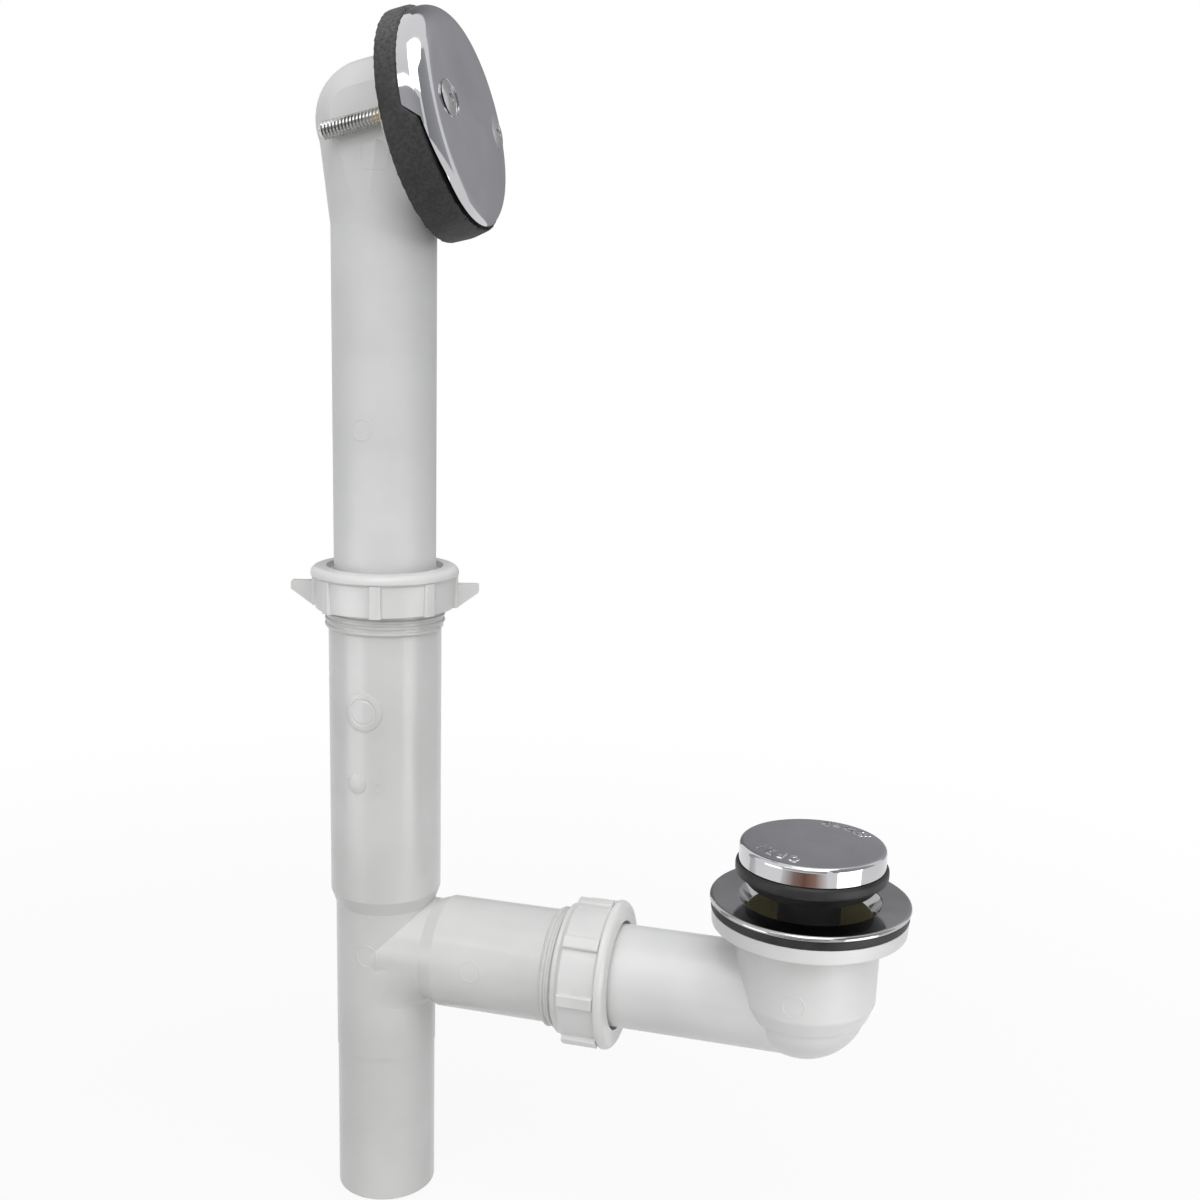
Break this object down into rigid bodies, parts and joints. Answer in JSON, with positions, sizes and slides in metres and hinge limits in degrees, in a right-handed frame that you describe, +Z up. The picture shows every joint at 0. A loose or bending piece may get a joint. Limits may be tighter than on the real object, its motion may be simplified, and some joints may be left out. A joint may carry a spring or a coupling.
{
  "type": "bath waste and overflow",
  "caption": "White plastic bath waste and overflow with a tilted chrome overflow plate, slip-joint tee, elbow shoe and a twist stopper that rises on a cam.",
  "frame": {"origin": "centre of the tail's open bottom end", "axes": "+Z up the overflow pipe, +X along the branch to the drain"},
  "size_m": [0.2362, 0.0808, 0.4497],
  "materials": {
    "white_pipe": "moulded, soft gloss",
    "white_nut": "moulded, soft gloss",
    "clear_washer": "soft waxy plastic",
    "chrome_plate": "polished chrome",
    "screw_steel": "bright plated steel",
    "insert_brass": "turned brass",
    "black_sponge": "closed-cell sponge",
    "black_rubber": "smooth moulded rubber",
    "dark_plastic": "moulded, matte"
  },
  "bodies": {
    "tee": {"tee_fitting": "white_pipe", "overflow_slip_nut": "white_nut", "overflow_slip_washer": "clear_washer", "waste_slip_nut": "white_nut", "waste_slip_washer": "clear_washer"},
    "overflow": {"overflow_tube": "white_pipe", "screw_inserts": "insert_brass", "overflow_gasket": "black_sponge", "overflow_plate": "chrome_plate", "overflow_screws": "screw_steel"},
    "shoe": {"waste_shoe": "white_pipe", "shoe_gasket": "black_rubber", "drain_strainer": "chrome_plate", "stopper_post": "insert_brass", "cam_pin": "screw_steel"},
    "stopper": {"stopper_sleeve": "dark_plastic", "stopper_seal": "black_rubber"},
    "cap": {"cap_hub": "dark_plastic", "hub_clip": "screw_steel", "stopper_cap": "chrome_plate"}
  },
  "joints": [
    {"name": "overflow_slip", "type": "slide", "parent": "tee", "child": "overflow", "axis": [0, 0, 1], "range_m": [-0.022, 0.045]},
    {"name": "shoe_slip", "type": "slide", "parent": "tee", "child": "shoe", "axis": [1, 0, 0], "range_m": [-0.025, 0.012]},
    {"name": "stopper_drop", "type": "slide", "parent": "shoe", "child": "stopper", "axis": [0, 0, -1], "range_m": [0, 0.008]},
    {"name": "cap_turn", "type": "hinge", "parent": "stopper", "child": "cap", "pos_m": [0.1656, 0, 0.1605], "axis": [0, 0, -1], "range_deg": [0, 120]}
  ],
  "couplings": [
    {"joint": "stopper_drop", "follows": "cap_turn", "m_per_rad": 0.0038197}
  ]
}
